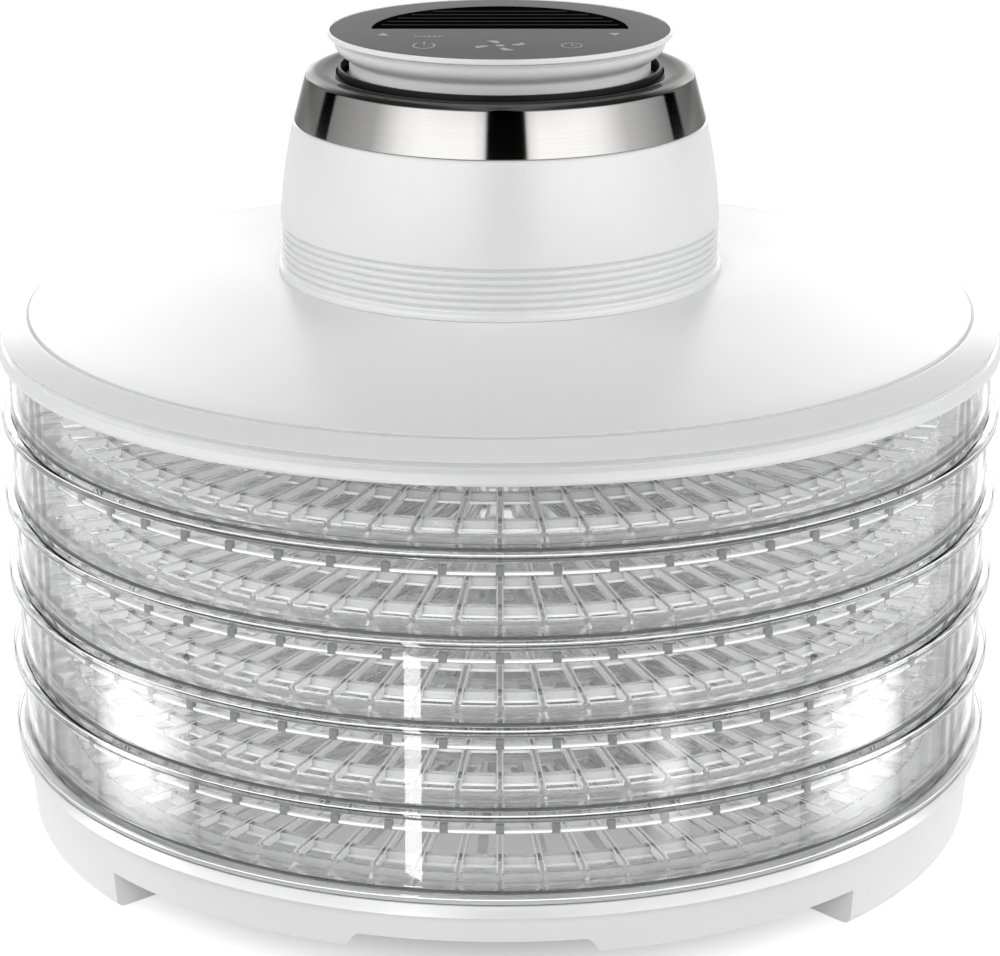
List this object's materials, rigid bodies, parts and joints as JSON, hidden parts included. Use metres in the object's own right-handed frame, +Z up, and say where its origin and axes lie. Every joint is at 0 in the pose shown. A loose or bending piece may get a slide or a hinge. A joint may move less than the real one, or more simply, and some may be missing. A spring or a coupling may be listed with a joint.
{
  "type": "food dehydrator",
  "caption": "Round food dehydrator: clear stacking trays on a white footed base under a lift-off domed head with a fan, heater, steel ring and a touch panel on top.",
  "frame": {"origin": "on the axis of the stack, at the level the feet stand on", "axes": "+Z up along the stack, front (the near edge of the touch panel) towards -Y, +X to the right"},
  "size_m": [0.33, 0.33, 0.2626],
  "materials": {
    "white_plastic": "satin white",
    "clear_plastic": "clear, polished",
    "brushed_steel": "brushed around",
    "black_plastic": "matt black",
    "panel_grey": "satin dark grey",
    "rubber": "matt",
    "circuit_board": "lacquered",
    "touch_foam": "matt",
    "motor_steel": "plated",
    "bracket_steel": "zinc plated",
    "shaft_steel": "ground",
    "fan_plastic": "matt black",
    "heater_frame": "heat-proof moulding",
    "heater_fins": "bare fins",
    "cutout_metal": "bare",
    "screw_steel": "zinc plated"
  },
  "bodies": {
    "base": {"base": "white_plastic", "base_floor": "white_plastic", "foot_pads": "rubber"},
    "tray_1": {"tray_1_wall": "clear_plastic", "tray_1_grid": "clear_plastic"},
    "tray_2": {"tray_2_wall": "clear_plastic", "tray_2_grid": "clear_plastic"},
    "tray_3": {"tray_3_wall": "clear_plastic", "tray_3_grid": "clear_plastic"},
    "tray_4": {"tray_4_wall": "clear_plastic", "tray_4_grid": "clear_plastic"},
    "tray_5": {"tray_5_wall": "clear_plastic", "tray_5_grid": "clear_plastic"},
    "head": {"lid": "white_plastic", "motor_housing": "white_plastic", "steel_ring": "brushed_steel", "inlet_grille": "black_plastic", "cap_shell": "white_plastic", "control_panel": "panel_grey", "top_louvre": "black_plastic", "control_board": "circuit_board", "touch_pads": "touch_foam", "motor": "motor_steel", "motor_bracket": "bracket_steel", "heater_frame": "heater_frame", "heater_packs": "heater_fins", "thermal_cutout": "cutout_metal", "fan_guard": "white_plastic", "cord_gland": "rubber", "lid_screws": "screw_steel", "bracket_screws": "screw_steel"},
    "fan": {"fan_shaft": "shaft_steel", "fan_rotor": "fan_plastic"}
  },
  "joints": [
    {"name": "tray_1_lift", "type": "slide", "parent": "base", "child": "tray_1", "axis": [0, 0, 1], "range_m": [0, 0.06]},
    {"name": "tray_2_lift", "type": "slide", "parent": "tray_1", "child": "tray_2", "axis": [0, 0, 1], "range_m": [0, 0.06]},
    {"name": "tray_3_lift", "type": "slide", "parent": "tray_2", "child": "tray_3", "axis": [0, 0, 1], "range_m": [0, 0.06]},
    {"name": "tray_4_lift", "type": "slide", "parent": "tray_3", "child": "tray_4", "axis": [0, 0, 1], "range_m": [0, 0.06]},
    {"name": "tray_5_lift", "type": "slide", "parent": "tray_4", "child": "tray_5", "axis": [0, 0, 1], "range_m": [0, 0.06]},
    {"name": "head_lift", "type": "slide", "parent": "tray_5", "child": "head", "axis": [0, 0, 1], "range_m": [0, 0.06]},
    {"name": "fan_spin", "type": "hinge", "parent": "head", "child": "fan", "pos_m": [0, 0, 0.2], "axis": [0, 0, 1], "continuous": true}
  ]
}
